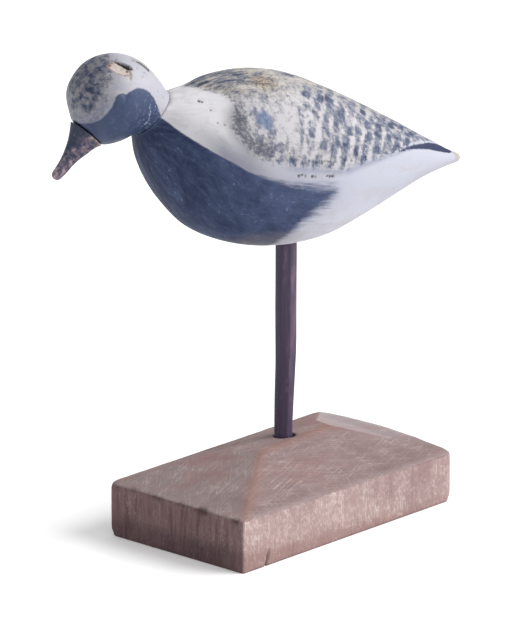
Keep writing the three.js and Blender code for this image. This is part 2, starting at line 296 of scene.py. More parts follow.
# A short crack runs up from the bottom edge of the long face, close to the near corner.
CRACK_FOOT = Vector((-61.5, -43.5, 0.0))
CRACK_LEAN = 0.3
CRACK_FULL_TO, CRACK_TOP = 3.6, 9.4
CRACK_HALF_WIDTH, CRACK_DEPTH = 0.85, 1.5
spots = places(block)
crack_line = CRACK_FOOT.x + CRACK_LEAN * spots[:, 2] + 0.4 * uneven(spots, (6, 6, 3), 5)
crack = np.clip(1 - np.abs(spots[:, 0] - crack_line) / CRACK_HALF_WIDTH, 0, 1)
crack *= ramp(spots[:, 2], CRACK_TOP, CRACK_FULL_TO) * (spots[:, 1] < CRACK_FOOT.y + 3)
sculpt(block, -CRACK_DEPTH * crack)

# The hips, where the slopes meet, from the near corner up to the ridge and down to the right end.
NEAR_HIP = [(-77, -43.5, 25.2), (-12, 4, 35.1), (43, 8.3, 35.8), (78.4, -1.5, 27.8)]
HIP_REACH = 3.2
spots = places(block)
block_places = {
    "top": on_top, "crack": crack, "broken": broken,
    "hip": hump(from_line(spots, NEAR_HIP), 0, HIP_REACH) * on_top,
    "left_slope": ramp(-facing[:, 0], 0.08, 0.16) * on_top,
    "right_slope": ramp(facing[:, 0], 0.1, 0.18) * ramp(spots[:, 1], -42, 0) * on_top,
    "long_face": ramp(-facing[:, 1], 0.3, 0.8) * on_side,
    "rim": ramp(rim_depth, 5, 1) * on_top,
    "low": ramp(spots[:, 2] + 0.06 * spots[:, 0], 10, 1),
}
keep(block, block_places)

# Old bare hardwood, sawn and rasped: matt mauve-brown under a grey skin, with pale torn fibres.
tree, spot, stored = start_material(block, "rasped_old_hardwood", block_places)
# Scratches about 0.5 mm wide and 8 to 20 mm long, drawn as the peaks of stretched noises. Each way
# of them has its turn in degrees about the X, Y and Z axes, its period in mm and its strength.
SCRATCHES = {
    "sides": (((0, 5, 0), (0.85, 0.85, 15), 1), ((12, -28, 0), (0.9, 0.9, 13), 1)),
    "slopes": (((0, 0, 20), (17, 0.85, 12), 1), ((0, 0, -24), (19, 0.9, 12), 1),
               ((0, 0, 74), (13, 0.9, 12), 0.6)),
    "left_slope": (((0, 0, 16), (15, 0.85, 12), 1), ((0, 0, 40), (13, 0.9, 12), 1)),
}
scratches = {}
for place, ways in SCRATCHES.items():
    scratches[place] = 0.0
    for turn, period, strength in ways:
        field = fine_marks(tree, spot, period, 2, 0.55, turn=turn)
        line = add(tree, "MapRange", {0: field, 1: 0.48, 2: 0.7, 3: 0, 4: strength},
                   interpolation_type="SMOOTHSTEP")
        scratches[place] = add(tree, "Math", {0: line, 1: scratches[place]}, operation="MAXIMUM")
on_slopes = add(tree, "Mix", {0: stored["left_slope"], 2: scratches["slopes"],
                              3: scratches["left_slope"]}, data_type="FLOAT")
marks = add(tree, "Mix", {0: stored["top"], 2: scratches["sides"], 3: on_slopes}, data_type="FLOAT")
# Board grain along the block in bands about 5 mm apart, then patches of wear, dirt and a fine fuzz,
# which have so many marks to the metre.
grain = fine_marks(tree, spot, (70, 5, 5), 5, 0.6)
patches, dirt, fuzz = (fine_marks(tree, spot, [1000 / to_the_metre] * 3, detail, roughness)
                       for to_the_metre, detail, roughness in ((60, 5, 0.6), (26, 5, 0.6), (520, 3, 0.7)))
upright = fine_marks(tree, spot, (3, 3, 26), 4, 0.6)

# The bare wood of each face runs between two tones, and then the faces are put together. The end
# faces' tones are darker than the long face's as painted shade, for the left end is turned from the light.
wood = {}
for face, pattern, dark, light in (
    ("end", upright, "#462F33", "#836A6A"), ("long", patches, "#836A6A", "#A28F8B"),
    ("slope", grain, "#745F5E", "#93807F"), ("left_slope", patches, "#6F6061", "#8F8181"),
    ("low", stored["long_face"], "#32222A", "#6E4B45"),
):
    wood[face] = add(tree, "Mix", {0: pattern, 6: dark, 7: light}, out=2, data_type="RGBA")
for whole, place, without, within in (
    ("sides", "long_face", "end", "long"), ("top", "left_slope", "slope", "left_slope"),
    ("all", "top", "sides", "top"),
):
    wood[whole] = add(tree, "Mix", {0: stored[place], 6: wood[without], 7: wood[within]}, out=2,
                      data_type="RGBA")

# How strongly the scratches and the furrows show from place to place.
shown = add(tree, "MapRange", {0: patches, 1: 0.38, 2: 0.62, 3: 0.15, 4: 0.75})
broken_up = add(tree, "MapRange", {0: fuzz, 1: 0.35, 2: 0.6, 3: 0.2, 4: 1})
side_gain = add(tree, "MapRange", {0: stored["long_face"], 1: 0, 2: 1, 3: 0.3, 4: 0.85})
gain = add(tree, "Mix", {0: stored["top"], 2: side_gain, 3: 0.62}, data_type="FLOAT")
off_top = add(tree, "Math", {0: 1, 1: stored["top"]}, operation="SUBTRACT")
off_long_face = add(tree, "MapRange", {0: stored["long_face"], 1: 0, 2: 1, 3: 1, 4: 0.25})
# Worn, stained and scratched wood, with a painted sheen on the right-hand slope and painted shadow under
# the broken edge.
worn_wood_and_painted_light = lay_coats(
    tree, wood["all"],
    # Scratches, then pale torn fibres that crowd the long face, and dark furrows between them.
    ("#CDC0BA", marks, 0, 1, 1, shown, broken_up, gain),
    ("#CDBDB8", fuzz, 0.5, 0.7, 0.3, stored["long_face"]),
    ("#4A3636", upright, 0.46, 0.3, 0.5, off_top, off_long_face),
    # Stains, warm patches on the top, and the wood darker and browner towards the foot.
    ("#62494A", dirt, 0.48, 0.66, 0.36),
    ("#845C56", dirt, 0.5, 0.36, 0.4, stored["top"]),
    (wood["low"], stored["low"], 0, 1, 1, patches),
    # The hips are rubbed red-brown and the rim greyer and paler, and the right-hand slope is painted paler
    # and lavender as a painted sheen.
    ("#8C6455", stored["hip"], 0, 1, 0.4),
    ("#B3A6A4", dirt, 0.42, 0.6, 0.2, stored["rim"]),
    ("#B3ABBB", stored["right_slope"], 0, 1, 0.12),
    # The broken edge is painted dark as the shadow under its torn lip, and the crack is dark.
    ("#3E2A2A", stored["broken"], 0.15, 0.9, 0.8),
    ("#1E1414", stored["crack"], 0, 1, 1),
)
# The right-hand slope has been rubbed smooth, so it catches a pale sheen from low down.
rubbed_smooth = add(tree, "MapRange", {0: stored["right_slope"], 1: 0, 2: 1, 3: 0.85, 4: 0.36})
fibre_height = add(tree, "Math", {0: fuzz, 1: marks, 2: grain}, operation="MULTIPLY_ADD")
finish_material(tree, worn_wood_and_painted_light, fibre_height, 0.4, roughness=rubbed_smooth, ior=1.5, specular=0.25)

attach(block, "root")
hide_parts("base")


# Stick
# A stick of dark wood, whittled to flat faces with a knife, thinner at the foot. It stands loose in
# the hole of the block, and the bird is pushed down on its top.
STICK_VOXEL = 0.45
KNIFE_DEPTH, FIBRE_DEPTH = 0.13, 0.05
FOOT_THICKER = 0.36
stick = merged_copy("stick", "whittled_stick")
finish_with(stick, "REMESH", mode="VOXEL", voxel_size=STICK_VOXEL * MM)
finish_with(stick, "SMOOTH", factor=0.5, iterations=12)
spots = places(stick)
knife = uneven(spots, (5, 5, 26), 11)
fibres = uneven(spots, (1.6, 1.6, 30), 12)
sculpt(stick, KNIFE_DEPTH * knife + FIBRE_DEPTH * fibres - 0.18 + FOOT_THICKER * ramp(spots[:, 2], 75, 45))
# Painted shade: the faces turned from the light are darkened in colour.
stick_places = {"painted_shade_away_from_light": ramp(outwards(stick)[:, :2] @ -PHOTO_RIGHT, 0.1, 0.8)}
keep(stick, stick_places)

# Dark brown wood rubbed by hands: a dull sheen, purple-brown with darker streaks along the grain.
tree, spot, stored = start_material(stick, "whittled_dark_wood", stick_places)
# Streaks 2 mm apart, broad tones some 40 mm long and rubbed places about 14 mm long.
streaks = fine_marks(tree, spot, (2, 2, 45), 5, 0.6)
tone = fine_marks(tree, spot, (9, 9, 40), 2, 0.5)
rub = fine_marks(tree, spot, (3.5, 3.5, 14), 4, 0.6)
dark_wood = add(tree, "Mix", {0: streaks, 6: "#231D34", 7: "#4D3E57"}, out=2, data_type="RGBA")
dark_wood = lay_coats(
    tree, dark_wood,
    ("#6B5161", tone, 0.42, 0.62, 0.6),
    ("#826F80", rub, 0.52, 0.72, 0.34),
    # Painted shade on the faces turned from the light.
    ("#1E1A2E", stored["painted_shade_away_from_light"], 0, 1, 0.4),
)
finish_material(tree, dark_wood, streaks, 0.3, roughness=0.55, ior=1.5, specular=0.35)

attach(stick, "root")
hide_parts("stick")


# Body
# Breast, back, raised wings, belly and tail, carved from one block with a knife and painted by hand:
# off-white, a slate-black breast patch, and dark dabs for feathers. The belly's hole takes the stick.
BIRD_TURN = math.radians(-23)
BIRD_STAND = np.array([17.0, 14.5, 131.5])
NECK_TOP = np.array([-62.1, 78.0])
NECK_BOTTOM = np.array([-79.3, 59.3])
KEPT_SHARP = 1.4
BODY_VOXEL = 0.75


def bird_places(piece):
    """The piece's points seen from the bird: x from the stick to the tail, z up from the belly."""
    turned = places(piece) - BIRD_STAND
    cosine, sine = math.cos(BIRD_TURN), math.sin(BIRD_TURN)
    x = turned[:, 0] * cosine + turned[:, 1] * sine
    y = turned[:, 1] * cosine - turned[:, 0] * sine
    return np.column_stack([x, y, turned[:, 2]])


def from_neck_cut(seen):
    """How far each place lies from the saw cut at the neck: above zero on the head's side."""
    down_cut = (NECK_BOTTOM - NECK_TOP) / np.linalg.norm(NECK_BOTTOM - NECK_TOP)
    return (seen[:, [0, 2]] - NECK_TOP) @ np.array([down_cut[1], -down_cut[0]])


def rough_out(node_name, name, voxel):
    """A rounded copy of a node with fine, even faces, its saw cuts and its hole kept sharp."""
    piece = merged_copy(node_name, name)
    bpy.ops.object.mode_set(mode="EDIT")
    bpy.ops.mesh.select_mode(type="EDGE")
    bpy.ops.mesh.select_all(action="DESELECT")
    bpy.ops.mesh.edges_select_sharp(sharpness=math.radians(50))
    bpy.ops.transform.edge_crease(value=1)
    bpy.ops.object.mode_set(mode="OBJECT")
    finish_with(piece, "SUBSURF", levels=2, render_levels=2)
    finish_with(piece, "REMESH", mode="VOXEL", voxel_size=voxel * MM)
    return piece


def rounded(outline, passes=2):
    """A closed outline with its corners cut round."""
    corners = np.array(outline, float)
    for _ in range(passes):
        after = np.roll(corners, -1, axis=0)
        corners = np.stack([0.75 * corners + 0.25 * after, 0.25 * corners + 0.75 * after], axis=1)
        corners = corners.reshape(-1, 2)
    return corners


def inside(points, outline):
    """How far in from a closed outline each point lies, below zero where it is outside."""
    within = np.zeros(len(points), bool)
    for start, end in zip(outline, np.roll(outline, -1, axis=0)):
        edge = end - start
        rise = edge[1] if abs(edge[1]) > 1e-9 else 1e-9
        spans = (start[1] > points[:, 1]) != (end[1] > points[:, 1])
        within ^= spans & (points[:, 0] < start[0] + (points[:, 1] - start[1]) * edge[0] / rise)
    nearest = from_line(points, np.vstack([outline, outline[:1]]))
    return np.where(within, nearest, -nearest)


def square_touches(tree, spot, period, waver, randomness, start, least, most, turn=0.0):
    """Square touches of a flat brush, each of one darkness from least to most. Period is their size
    in mm and waver how far their edges stray."""
    wobble = add(tree, "TexNoise", {"Vector": spot, "Scale": 1 / (1.5 * MM), "Detail": 2}, out="Color")
    centred = add(tree, "VectorMath", {0: wobble, 1: (0.5, 0.5, 0.5)}, operation="SUBTRACT")
    wobbled = add(tree, "VectorMath", {0: centred, 1: Vector(waver) * MM, 2: spot},
                  operation="MULTIPLY_ADD")
    cell_spot = add(tree, "Mapping", {0: wobbled, "Rotation": (0, 0, turn),
                                      "Scale": Vector(period) * MM}, vector_type="TEXTURE")
    cells = add(tree, "TexVoronoi", {"Vector": cell_spot, "Scale": 1, "Randomness": randomness},
                out="Color", distance="CHEBYCHEV")
    tone = add(tree, "SeparateColor", {0: cells}, out="Red")
    return add(tree, "MapRange", {0: tone, 1: start, 2: 1, 3: least, 4: most})


def set_tones(tones, first, last, between):
    """Gives a colour ramp its first tone, its last one and those between, each with its place."""
    ramp_stops = tones.node.color_ramp.elements
    ramp_stops[0].color, ramp_stops[1].color = linear(first), linear(last)
    for place, colour in between:
        ramp_stops.new(place).color = linear(colour)
    return tones


body = rough_out("body", "carved_body", BODY_VOXEL)
# The saw cut at the neck keeps its sharp edge, so only the rest is smoothed.
soften(body, 6, from_neck_cut(bird_places(body)) < -KEPT_SHARP)

# The middle line that the carver's angles turn about: 0 degrees is the back and 180 the belly.
MIDDLE_X = [-80, -52, -35, -12, 17, 93]
MIDDLE_Z = [66, 58, 49, 42, 37, 36]
MM_PER_DEGREE = 0.55
seen = bird_places(body)
along = seen[:, 0]
around = np.degrees(np.arctan2(np.abs(seen[:, 1]), seen[:, 2] - np.interp(along, MIDDLE_X, MIDDLE_Z)))
unrolled = np.column_stack([along, around * MM_PER_DEGREE])
sideways = seen[:, [0, 2]]

# The wings as x in mm and degrees down from the back. The outline runs on over the back.
WING = [(-54, -30), (-53.5, 2), (-51, 10), (-48.6, 24), (-42, 34), (-37.3, 44), (-39.5, 55), (-41.5, 66),
        (-40, 73), (-36.9, 79), (-31, 85.5), (-26, 88), (-17.9, 87), (-3.8, 84.8), (11, 85), (18.4, 83.5),
        (26.2, 79), (45.9, 71.2), (57.5, 61.5), (74.2, 38), (84, 5), (84, -30)]
in_wing = inside(unrolled, rounded(np.array(WING) * (1, MM_PER_DEGREE)))

# The slate-black patch in side view: from the neck joint down its upper edge, then its ragged rear.
PATCH = [(-90, 66), (-74, 70), (-69, 67.4), (-63.9, 62.1), (-56.7, 57.1), (-48.7, 51.5), (-39.2, 46.2),
         (-35, 43.1), (-24.5, 39.2), (-10.9, 35.7), (-0.2, 33.8), (11.5, 32.3), (10.6, 29), (6.8, 25),
         (1.4, 21), (-4.6, 16), (-10.5, 9), (-13.5, 4), (-17, -8), (-90, -8)]
in_patch = inside(sideways, rounded(PATCH))

# The dark ends of the long feathers at the tail, in the unrolled view.
TAIL_FEATHERS = [(49, 70), (57.6, 61), (67, 53), (75.5, 40), (82, 24), (89.5, 10), (88, 60), (85.1, 66),
                 (70.1, 62.5), (57.3, 66)]
in_tail = inside(unrolled, np.array(TAIL_FEATHERS) * (1, MM_PER_DEGREE))

# Knife work: faint flats all over, a soft hollow under the wing's edge, and small chips below it.
# Each chip has its x, its height and its size.
CHIPS = [(-10, 39.6, 0.8), (-8.3, 40.1, 0.7), (-6.6, 39.5, 0.6), (-2.8, 38.9, 0.9), (-1.2, 38.7, 0.6),
         (5.2, 38.3, 0.6), (6.8, 38.0, 0.8), (8.4, 37.9, 0.9), (-52.6, 75.3, 0.65), (-51.4, 74.9, 0.5),
         (-47.4, 66.1, 0.4), (-49.2, 71.5, 0.4), (-44.5, 65.2, 0.4)]
FLAT_DEPTH, RIPPLE_DEPTH, WING_HOLLOW_DEPTH, CHIP_DEPTH = 0.14, 0.05, 0.12, 0.4
near_side = seen[:, 1] < 0
flats = uneven(seen, (20, 13, 9), 21)
ripples = uneven(seen, (30, 5, 4.5), 22)
hollow = hump(in_wing, -1.6, 2.2) * ramp(around, 20, 50)
chips = np.zeros(len(seen))
for chip_x, chip_z, size in CHIPS:
    reach = np.hypot((sideways[:, 0] - chip_x) / 1.4, sideways[:, 1] - chip_z)
    chips = np.maximum(chips, ramp(reach, size, 0.35 * size) * near_side)
# The hole's wall is left as it is, so that the stick still fits.
HOLE_RIM = 7
on_skin = ramp(np.hypot(seen[:, 0], seen[:, 1]), HOLE_RIM, HOLE_RIM + 2)
on_skin *= ramp(from_neck_cut(seen), -0.3, -KEPT_SHARP)
sculpt(body, on_skin * (FLAT_DEPTH * flats + RIPPLE_DEPTH * ripples - 0.12 - WING_HOLLOW_DEPTH * hollow
                        - CHIP_DEPTH * chips))

# Feather dabs in stacks, one behind the other: upright on the side, leaning back up the wing.
DAB_STACKS = 13
STACK_GAP = 6.3
FIRST_STACK = -6.5
STACK_ANGLE = 52
DAB_ANGLES = np.arange(16, 86, 7.6)


def lean_back(rise):
    """How far back a stack has come at so many degrees above the side, more above the wing's bend."""
    return rise * np.where(rise < 8, 0.2, 0.34)


# Each stack stands on a faint grey stripe.
stack_line = FIRST_STACK + lean_back(np.maximum(STACK_ANGLE - around, -40))
from_stack = np.abs((along - stack_line + 0.5 * STACK_GAP) % STACK_GAP - 0.5 * STACK_GAP)
dabs = 0.3 * ramp(from_stack, 2.4, 0.9) * ramp(along, FIRST_STACK - 4, FIRST_STACK + 4)
# Each dab has its own place, size, strength and slant, drawn with a fixed seed.
dice = np.random.default_rng(7)
for side in (-1, 1):
    here = np.sign(seen[:, 1]) == side
    for stack in range(DAB_STACKS):
        for angle in DAB_ANGLES:
            rise = STACK_ANGLE - angle
            x = FIRST_STACK + stack * STACK_GAP + lean_back(rise) + dice.uniform(-0.8, 0.8)
            down_at = (angle + dice.uniform(-2.2, 2.2)) * MM_PER_DEGREE
            half_across, half_down = dice.uniform(1.3, 2.1), dice.uniform(1.6, 2.7)
            strength = dice.uniform(0.25, 1.0)
            slant = 0.15 + 0.6 * ramp(rise, 5, 35) + dice.uniform(-0.2, 0.2)
            across = along[here] - x
            down = unrolled[here, 1] - down_at
            turned_x = across * math.cos(slant) + down * math.sin(slant)
            turned_y = down * math.cos(slant) - across * math.sin(slant)
            reach = (np.abs(turned_x / half_across) ** 6 + np.abs(turned_y / half_down) ** 6) ** (1 / 6)
            dabs[here] = np.maximum(dabs[here], strength * ramp(reach, 1.4, 0.7))

# Fine dark stipple behind the front edge of the wings, thickest low down on it.
FRONT_X = [-53, -48.6, -37.3, -41.5, -36.9, -26]
FRONT_ANGLE = [0, 24, 44, 66, 79, 88]
SHOULDER_LINE = [(-35.5, 49), (-38, 58), (-38.5, 66), (-36.5, 74), (-31, 80), (-26, 78)]
behind_front = along - np.interp(around, FRONT_ANGLE, FRONT_X)
stipple = 0.6 * ramp(behind_front, 7.5, 1) * ramp(around, 30, 48) * ramp(around, 90, 84)
from_shoulder = from_line(unrolled, np.array(SHOULDER_LINE) * (1, MM_PER_DEGREE))
stipple = np.maximum(stipple, 0.95 * hump(from_shoulder, 0, 4.2) * ramp(around, 42, 60))


def soft_spot(x, angle, half_long, half_round):
    """A soft round place on the wing, by its x in mm and its degrees down from the back."""
    return hump(along, x, half_long) * hump(around, angle, half_round)


# Other painted places: the mantle's streaks, a blue dab on the shoulder, and worn brown spots, each
# with its x, its angle, its reach along and around the bird and its strength.
WORN_BROWN = [(-20, 24, 9, 10, 1.0), (6, 80, 8, 4, 0.5), (-33, 33, 5, 5, 0.6), (-38, 30, 6, 5, 0.5)]
mantle = np.maximum(ramp(around, 46, 24) * ramp(along, 4, -22), 0.75 * ramp(around, 36, 14))
blue_dab = np.exp(-(((along + 26) / 4.4) ** 2 + ((around - 57) / 8) ** 2) ** 2)
worn_brown = np.max([strength * soft_spot(*spot_at) for *spot_at, strength in WORN_BROWN], axis=0)
# A painted highlight pales the dabs on the shoulder, the white ground shows between the dabs at the
# wing's lower edge, and little of it shows at the nape, along the back and towards the tail.
bare_white_and_highlight = 1.3 * soft_spot(-13, 50, 10, 15) + 1.1 * soft_spot(6, 80, 8, 7)
bare_white_and_highlight -= 0.9 * soft_spot(6, 31, 13, 10)
bare_white_and_highlight -= 0.3 * ramp(along, -2, 8) + 0.45 * ramp(along, 24, 40) + 0.7 * ramp(along, -8, -24)
# Painted shade: grey is laid into the white above the patch, most below the neck, partly grey paint and
# partly the shade of the hollow there.
SHADE_X = [-66, -56, -46, -34, -20, -5, 22]
SHADE_SHARE = [0.25, 0.4, 1, 1, 0.5, 0.25, 0]
body_places = {
    "wing": in_wing, "patch": in_patch, "tail_feathers": in_tail, "dabs": dabs, "stipple": stipple,
    "mantle": mantle, "nape_dark": ramp(along, -22, -40) * ramp(around, 30, 10), "blue_dab": blue_dab,
    "bare_white_and_highlight": bare_white_and_highlight, "worn_brown": worn_brown, "chips": chips, "along": along,
    "around": around * MM_PER_DEGREE,
    # Painted shade above the patch.
    "painted_shade_above_patch": ramp(-in_patch, 14, 1) * np.interp(along, SHADE_X, SHADE_SHARE),
    "front_shade": ramp(in_wing, -7, -0.5) * ramp(along, -26, -36) * ramp(around, 38, 52),
    # Painted shadow under the wing's lower edge.
    "painted_shadow_under_wing": hump(in_wing, -1.4, 1.3) * ramp(along, -24, -8) * ramp(around, 56, 66),
    "belly_soil": ramp(seen[:, 2], 17, 3) * ramp(along, -50, -24),
    "paler_under_tail": ramp(along, 12, 55) * ramp(around, 75, 95),
    "raw_tip": 0.8 * ramp(along, 88, 89.8) * ramp(around, 112, 84),
    # Painted light: the white facing down is made paler.
    "underside": ramp(seen[:, 2], 30, 8),
    "neck_cut": ramp(from_neck_cut(seen), -1.3, -0.2),
}
keep(body, body_places)

# Old oil paint brushed on carved wood: dull satin, smudged and worn, with brush marks along the bird.
tree, spot, stored = start_material(body, "old_oil_paint_on_body", body_places)
side = add(tree, "SeparateXYZ", {0: spot}, out=1)
metres_along = add(tree, "Math", {0: stored["along"], 1: MM}, operation="MULTIPLY")
metres_around = add(tree, "Math", {0: stored["around"], 1: MM}, operation="MULTIPLY")
skin = add(tree, "CombineXYZ", {0: metres_along, 1: metres_around, 2: side})
# The patterns run on the unrolled skin, with their periods in mm along, around and across the bird.
smudge = fine_marks(tree, skin, (2.6, 3.4, 9), 4, 0.65, warp=0.2)
grit = fine_marks(tree, skin, (1.5, 1.4, 2), 3, 0.65, warp=0.2)
strokes = fine_marks(tree, skin, (9, 3.0, 9), 5, 0.65, warp=0.5)
bristles = fine_marks(tree, skin, (15, 0.9, 9), 4, 0.65, warp=0.2)
clouds = fine_marks(tree, skin, (16, 12, 12), 4, 0.65, warp=0.5)

# White ground: cool on the flanks and creamier at the neck, with painted shade above the patch and in
# front of the wing, a painted shadow under the wing's edge and painted light on the underside.
white = lay_coats(
    tree, "#AAACB8",
    # Slightly paler white towards the tail's underside.
    ("#ACAEBA", stored["paler_under_tail"], 0, 1, 1),
    ("#D0CED1", stored["along"], -12, -50, 1),
    # Painted light: the white facing down is made paler.
    ("#C0C1CD", stored["underside"], 0, 1, 1),
    ("#A8A3A4", clouds, 0.48, 0.68, 0.5),
    ("#A9AAB2", bristles, 0.5, 0.7, 0.3),
    # Painted shade above the patch.
    ("#7B7C88", stored["painted_shade_above_patch"], 0, 1, 0.95),
    ("#77767E", stored["front_shade"], 0, 1, 0.5),
    # Painted shadow under the wing's lower edge.
    ("#7C8094", stored["painted_shadow_under_wing"], 0, 1, 1, clouds),
)

# How dark each place of the wing is: its dabs or its mantle, with the touches of a flat brush, about
# 3 by 4 mm on the side and 8 by 2.5 mm on the mantle, broken up by smudges and grit.
side_touches = square_touches(tree, skin, (3.1, 3.9, 14), (3.2, 3.2, 0), 0.7, 0.3, -0.08, 0.34)
mantle_touches = square_touches(tree, skin, (8, 2.6, 14), (3.2, 3.2, 0), 0.7, 0.3, -0.08, 0.34)
# Each sum of patterns starts from its first value, and each of its parts goes in times its weight.
sums = {}
for name, start, parts in (
    ("wing_dark", -1.09, ((smudge, 1.35), (side_touches, 1), (grit, 0.9), (stored["dabs"], 0.66),
                          (stored["bare_white_and_highlight"], -0.25))),
    ("mantle_dark", -1.33, ((strokes, 2.4), (mantle_touches, 1), (grit, 0.9), (stored["nape_dark"], 0.2))),
    ("stipple_mark", grit, ((stored["stipple"], 0.5),)),
    ("wing_line", -3.5, ((grit, 7), (stored["wing"], 1))),
    ("tail_line", -1.575, ((grit, 3.15), (stored["tail_feathers"], 1))),
    ("brushed", -1, ((strokes, 1), (bristles, 1))),
    ("relief", bristles, ((smudge, 0.6),)),
):
    sums[name] = start
    for pattern, weight in parts:
        sums[name] = add(tree, "Math", {0: pattern, 1: weight, 2: sums[name]}, operation="MULTIPLY_ADD")
darkness = add(tree, "Mix", {0: stored["mantle"], 2: sums["wing_dark"], 3: sums["mantle_dark"]},
               data_type="FLOAT")
wing_tones = set_tones(add(tree, "ValToRGB", {0: darkness}), "#B1AFB3", "#3C4255",
                       ((0.25, "#9B999D"), (0.5, "#777985"), (0.75, "#575D71")))
mantle_tones = set_tones(add(tree, "ValToRGB", {0: darkness}), "#B3ADA4", "#2F3446",
                         ((0.3, "#989490"), (0.55, "#6E717C"), (0.78, "#474E62")))
brown_mark = add(tree, "Math", {0: stored["worn_brown"], 1: smudge}, operation="MULTIPLY")
# The blue dab's fullness is above one, because the smudge that it is multiplied by is about a half.
wing_paint = lay_coats(
    tree, wing_tones,
    (mantle_tones, stored["mantle"], 0, 1, 1),
    ("#4A4D5A", sums["stipple_mark"], 0.62, 0.95, 0.75),
    ("#556788", stored["blue_dab"], 0.2, 0.9, 1.445, smudge),
    ("#9A8B78", brown_mark, 0.2, 0.45, 0.7),
    ("#3E3C44", grit, 0.52, 0.6, 0.8, stored["worn_brown"]),
)

# The wing and the tail's feathers end in a smudged edge a few millimetres wide.
wing_share = add(tree, "MapRange", {0: sums["wing_line"], 1: -1.6, 2: 1.6, 3: 0, 4: 1},
                 interpolation_type="SMOOTHSTEP")
winged = add(tree, "Mix", {0: wing_share, 6: white, 7: wing_paint}, out=2, data_type="RGBA")
tailed = lay_coats(tree, winged, ("#142144", sums["tail_line"], -0.6, 0.6, 0.97))

# The patch's upper edge is neat, and its rear is brushed out dry in streaks along the bird.
rear = add(tree, "MapRange", {0: stored["along"], 1: -34, 2: 2, 3: 0.5, 4: 9})
patch_line = add(tree, "Math", {0: sums["brushed"], 1: rear, 2: stored["patch"]},
                 operation="MULTIPLY_ADD")
edge_width = add(tree, "MapRange", {0: stored["along"], 1: -34, 2: 2, 3: 0.45, 4: 4.5})
edge_share = add(tree, "Math", {0: patch_line, 1: edge_width}, operation="DIVIDE")
patch_share = add(tree, "MapRange", {0: edge_share, 1: -1, 2: 1, 3: 0, 4: 1},
                  interpolation_type="SMOOTHSTEP")
# It is darkest at the breast, and streaked, flecked and soiled towards the belly.
breast_dark = add(tree, "MapRange", {0: stored["along"], 1: -70, 2: -10, 3: -0.35, 4: 0.1})
cloud_share = add(tree, "MapRange", {0: clouds, 1: 0.2, 2: 0.8, 3: 0, 4: 1})
slate_share = add(tree, "Math", {0: cloud_share, 1: breast_dark}, operation="ADD")
slate = add(tree, "Mix", {0: slate_share, 6: "#1A2441", 7: "#475373"}, out=2, data_type="RGBA")
fleck_place = add(tree, "MapRange", {0: clouds, 1: 0.46, 2: 0.64, 3: 0.08, 4: 1})
soil_mark = add(tree, "Math", {0: stored["belly_soil"], 1: strokes}, operation="MULTIPLY")
slate = lay_coats(
    tree, slate,
    ("#4E5A74", strokes, 0.46, 0.7, 0.36),
    ("#8792A4", grit, 0.58, 0.72, 0.55, fleck_place),
    ("#67626A", soil_mark, 0.1, 0.5, 0.75),
    ("#505C78", stored["neck_cut"], 0, 1, 1, smudge),
)
painted = lay_coats(
    tree, add(tree, "Mix", {0: patch_share, 6: tailed, 7: slate}, out=2, data_type="RGBA"),
    ("#3A3028", stored["chips"], 0, 1, 1),
    ("#A4988E", stored["raw_tip"], 0, 1, 1),
)
gloss = add(tree, "MapRange", {0: smudge, 1: 0.3, 2: 0.7, 3: 0.55, 4: 0.7})
finish_material(tree, painted, sums["relief"], 0.3, roughness=gloss, ior=1.48, specular=0.2)

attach(body, "root")
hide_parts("body")


# Head
# Its own small block, butted and glued on the neck, with low bumps for eyes. Splinters have torn out
# of the crown. It is painted with a slate-black mask, a pale band over it and a dabbed grey crown.
HEAD_CENTRE = np.array([-89.3, 0.0, 76.4])
HEAD_VOXEL = 0.42
head = rough_out("head", "carved_head", HEAD_VOXEL)
soften(head, 6, from_neck_cut(bird_places(head)) > KEPT_SHARP)

# The glue line at the neck is nearly closed: the head's last millimetre reaches back to the body.
GLUE_REACH = 0.22
neck_reach = GLUE_REACH * ramp(from_neck_cut(bird_places(head)), 1.3, 0.5)
cut_up = (NECK_TOP - NECK_BOTTOM) / np.linalg.norm(NECK_TOP - NECK_BOTTOM)
to_neck = np.array([cut_up[1] * math.cos(BIRD_TURN), cut_up[1] * math.sin(BIRD_TURN), -cut_up[0]])
put(head, places(head) + neck_reach[:, None] * to_neck)

from_centre = bird_places(head) - HEAD_CENTRE
side_view = from_centre[:, [0, 2]]

# The mask in side view, from the face over the eye and the cheek to the neck, then round the chin.
MASK = [(-30, -12), (-16.5, -9.2), (-12.5, -7), (-8.3, -1.4), (-6.9, 2), (-5.9, 5), (-3.3, 5.9),
        (-1.2, 4.7), (1.3, 6.3), (5.4, 7.4), (9, 6.6), (13.3, 3.7), (16.3, -1.4), (18.3, -5.9), (21, -12),
        (30, -14), (30, -40), (-30, -40)]
# The crown's dabbed grey, which goes over the top of the head.
CROWN = [(-26, -5.5), (-21, -5.5), (-16.5, -4.6), (-13.5, -2.5), (-12, 1), (-10.5, 6), (-8.5, 10.5),
         (-5, 14.5), (-1.5, 18.5), (0, 30), (-26, 30)]

# The gash has a frame of its own on the crown: along the slit, down from it, both in mm.
GASH = np.array([0.5, -11.5, 17.3])
ALONG_SLIT = np.array([0.793, -0.453, -0.408])
DOWN_FROM_SLIT = np.array([-0.607, -0.646, -0.462])
gash_u = (from_centre - GASH) @ ALONG_SLIT
gash_v = (from_centre - GASH) @ DOWN_FROM_SLIT
on_crown = (from_centre[:, 1] < 0) & (from_centre[:, 2] > 8)
gash_rough = uneven(from_centre, (1.6, 1.6, 1.6), 33)
